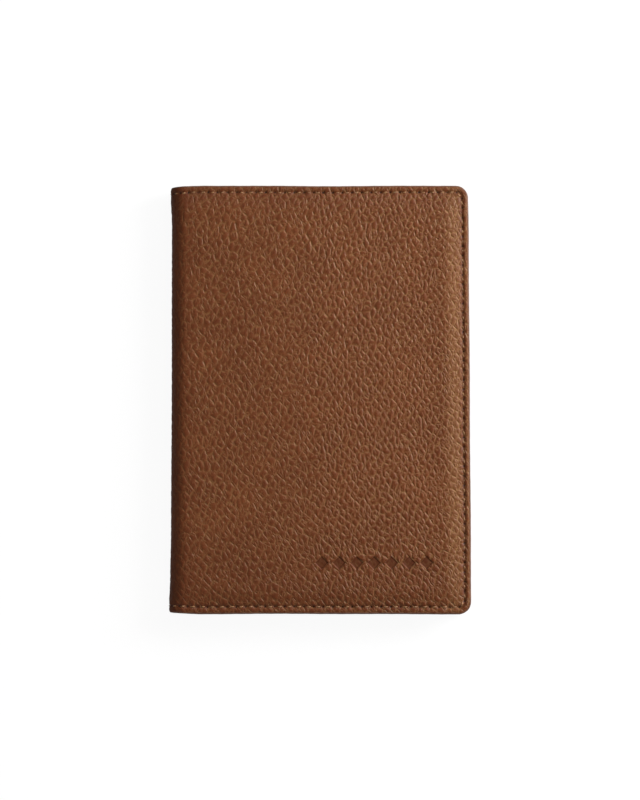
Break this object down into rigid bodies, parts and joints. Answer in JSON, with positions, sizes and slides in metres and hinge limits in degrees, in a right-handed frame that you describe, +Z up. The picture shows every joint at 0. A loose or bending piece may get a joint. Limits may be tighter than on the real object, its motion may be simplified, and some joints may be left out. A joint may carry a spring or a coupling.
{
  "type": "notebook cover",
  "caption": "Folding leather cover for a pocket notebook: two stitched covers on a flexible spine strip, each with an inner sleeve that takes one cover of the notebook.",
  "frame": {"origin": "centre of the back cover's outer face, closed, which is the bottom face", "axes": "+X from the spine to the fore-edge, +Y along the spine to the top, +Z up through the thickness to the front cover"},
  "size_m": [0.103, 0.148, 0.012],
  "materials": {
    "leather": "pebbled, low sheen",
    "sleeve": "smooth, matte",
    "lining": "woven, matte",
    "board": "grey-brown pulp board",
    "edge_paint": "burnished, satin",
    "thread": "waxed polyester"
  },
  "bodies": {
    "back_cover": {"back_leather": "leather", "back_board": "board", "back_lining": "lining", "back_sleeve": "sleeve", "back_edge_paint": "edge_paint", "back_needle_thread": "thread", "back_bobbin_thread": "thread"},
    "spine": {"spine_leather": "leather", "spine_strip": "board", "spine_lining": "lining", "spine_edge_paint": "edge_paint", "spine_needle_thread": "thread", "spine_bobbin_thread": "thread"},
    "front_cover": {"front_leather": "leather", "front_board": "board", "front_lining": "lining", "front_sleeve": "sleeve", "front_edge_paint": "edge_paint", "front_needle_thread": "thread", "front_bobbin_thread": "thread"}
  },
  "joints": [
    {"name": "spine_fold", "type": "hinge", "parent": "back_cover", "child": "spine", "pos_m": [-0.0498, 0, 0.0017], "axis": [0, -1, 0], "range_deg": [0, 90]},
    {"name": "front_fold", "type": "hinge", "parent": "spine", "child": "front_cover", "pos_m": [-0.0498, 0, 0.0103], "axis": [0, -1, 0], "range_deg": [0, 90]}
  ]
}
